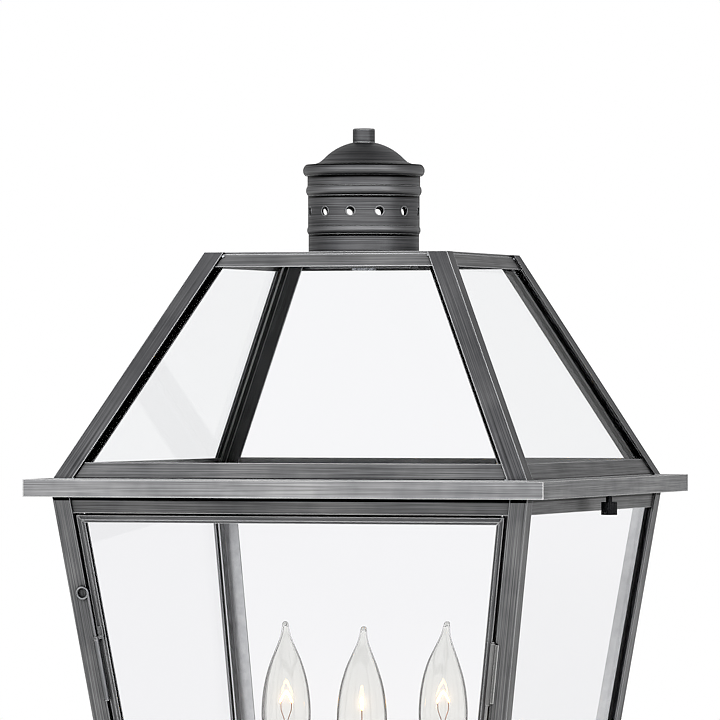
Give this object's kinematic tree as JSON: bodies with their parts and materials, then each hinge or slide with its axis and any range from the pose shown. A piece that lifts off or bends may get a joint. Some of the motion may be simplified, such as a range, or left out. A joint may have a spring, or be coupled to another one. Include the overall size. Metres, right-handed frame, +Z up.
{
  "type": "post top lantern",
  "caption": "Square tapered post top lantern with clear glass, a hinged door, a lift-off glazed roof with a vented chimney, and candle lamps.",
  "frame": {"origin": "centre of the post fitter's mouth, the lowest point of the lantern", "axes": "+Z up along the post, -Y towards the door side, +X to the right seen from the door side"},
  "size_m": [0.356, 0.356, 0.6564],
  "materials": {
    "brushed_zinc": "dark brushed, lightly worn edges",
    "pane_glass": "clear flat glass",
    "bulb_glass": "clear blown glass",
    "brass": "rolled thread shell",
    "filament": "lit wire",
    "candle_ivory": "smooth ivory sleeve",
    "socket_black": "moulded",
    "blackened_screw": "blackened, knurled",
    "bright_zinc": "bright zinc plating"
  },
  "bodies": {
    "lantern_body": {"post_fitter": "brushed_zinc", "fitter_set_screws": "brushed_zinc", "neck": "brushed_zinc", "base_tray": "brushed_zinc", "corner_posts": "brushed_zinc", "post_glass_stops": "brushed_zinc", "door_stops": "brushed_zinc", "body_top_rails": "brushed_zinc", "body_bottom_rails": "brushed_zinc", "glass_right": "pane_glass", "glass_back": "pane_glass", "glass_left": "pane_glass", "screw_lugs": "brushed_zinc", "hinge_barrels": "brushed_zinc", "hinge_pin": "brushed_zinc", "latch_barrel": "brushed_zinc", "centre_stem": "bright_zinc", "stem_nuts": "bright_zinc", "cluster_hub": "brushed_zinc", "hub_cap_nut": "brushed_zinc", "cluster_arms": "brushed_zinc", "candle_cups": "brushed_zinc", "candle_sleeves": "candle_ivory", "lamp_sockets": "socket_black", "bulb_bases": "brass", "bulb_glass": "bulb_glass", "bulb_mounts": "bulb_glass", "bulb_filaments": "filament"},
    "door": {"door_frame": "brushed_zinc", "door_glass": "pane_glass", "door_knuckle": "brushed_zinc", "latch_eye": "brushed_zinc"},
    "latch": {"latch_pin": "brushed_zinc"},
    "roof": {"eave_rim": "brushed_zinc", "eave_nuts": "bright_zinc", "hip_bars": "brushed_zinc", "hip_glass_stops": "brushed_zinc", "roof_base_rails": "brushed_zinc", "roof_top_rails": "brushed_zinc", "roof_glass_front": "pane_glass", "roof_glass_right": "pane_glass", "roof_glass_back": "pane_glass", "roof_glass_left": "pane_glass", "top_plate": "brushed_zinc", "chimney": "brushed_zinc", "chimney_cap": "brushed_zinc", "finial": "brushed_zinc", "chimney_rod": "bright_zinc", "rod_nut": "bright_zinc", "rod_strap": "brushed_zinc", "strap_screws": "bright_zinc"},
    "thumb_right": {"thumb_screw_right": "blackened_screw"},
    "thumb_left": {"thumb_screw_left": "blackened_screw"}
  },
  "joints": [
    {"name": "door_hinge", "type": "hinge", "parent": "lantern_body", "child": "door", "pos_m": [0.12795, -0.14313, 0.25778], "axis": [0.1392, -0.1392, 0.9804], "range_deg": [0, 105]},
    {"name": "latch_slide", "type": "slide", "parent": "lantern_body", "child": "latch", "axis": [-0.1392, -0.1392, 0.9804], "range_m": [0, 0.045]},
    {"name": "roof_lift", "type": "slide", "parent": "lantern_body", "child": "roof", "axis": [0, 0, 1], "range_m": [0, 0.15]},
    {"name": "thumb_turn_right", "type": "hinge", "parent": "lantern_body", "child": "thumb_right", "pos_m": [0.1715, 0, 0.406], "axis": [0, 0, 1], "continuous": true},
    {"name": "thumb_turn_left", "type": "hinge", "parent": "lantern_body", "child": "thumb_left", "pos_m": [-0.1715, 0, 0.406], "axis": [0, 0, 1], "continuous": true}
  ]
}
